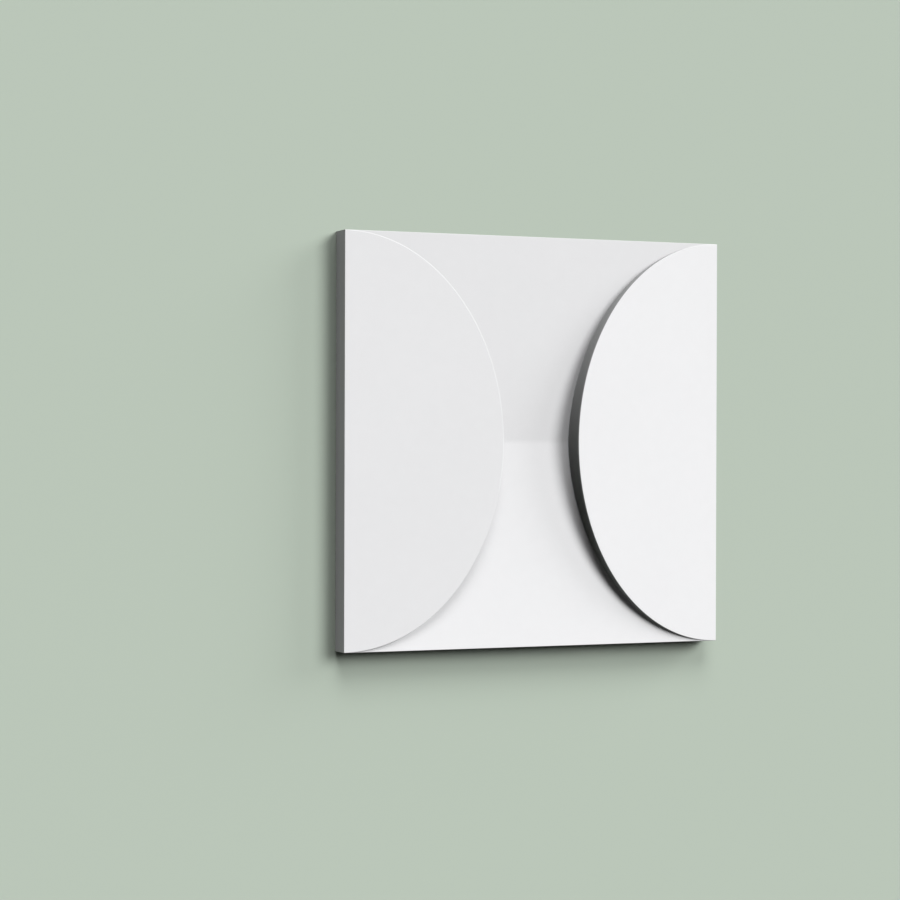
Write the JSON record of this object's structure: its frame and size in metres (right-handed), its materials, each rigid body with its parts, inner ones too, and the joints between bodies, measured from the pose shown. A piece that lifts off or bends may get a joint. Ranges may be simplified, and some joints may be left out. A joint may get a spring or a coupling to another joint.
{
  "type": "wall panel tile",
  "caption": "Square relief wall tile with half-ellipse discs leaning out from both sides over a front that folds down to a mid-height crease; flat back for gluing.",
  "frame": {"origin": "middle of the flat back, which the tile lies on and which is glued to the wall", "axes": "+X across the tile to the right as it hangs, +Y up it, +Z out of the wall through its front"},
  "size_m": [0.333, 0.333, 0.029],
  "materials": {
    "primed_foam": "matt white factory primer on moulded high-density polyurethane foam"
  },
  "bodies": {
    "root": {"wall_tile": "primed_foam"}
  },
  "joints": []
}
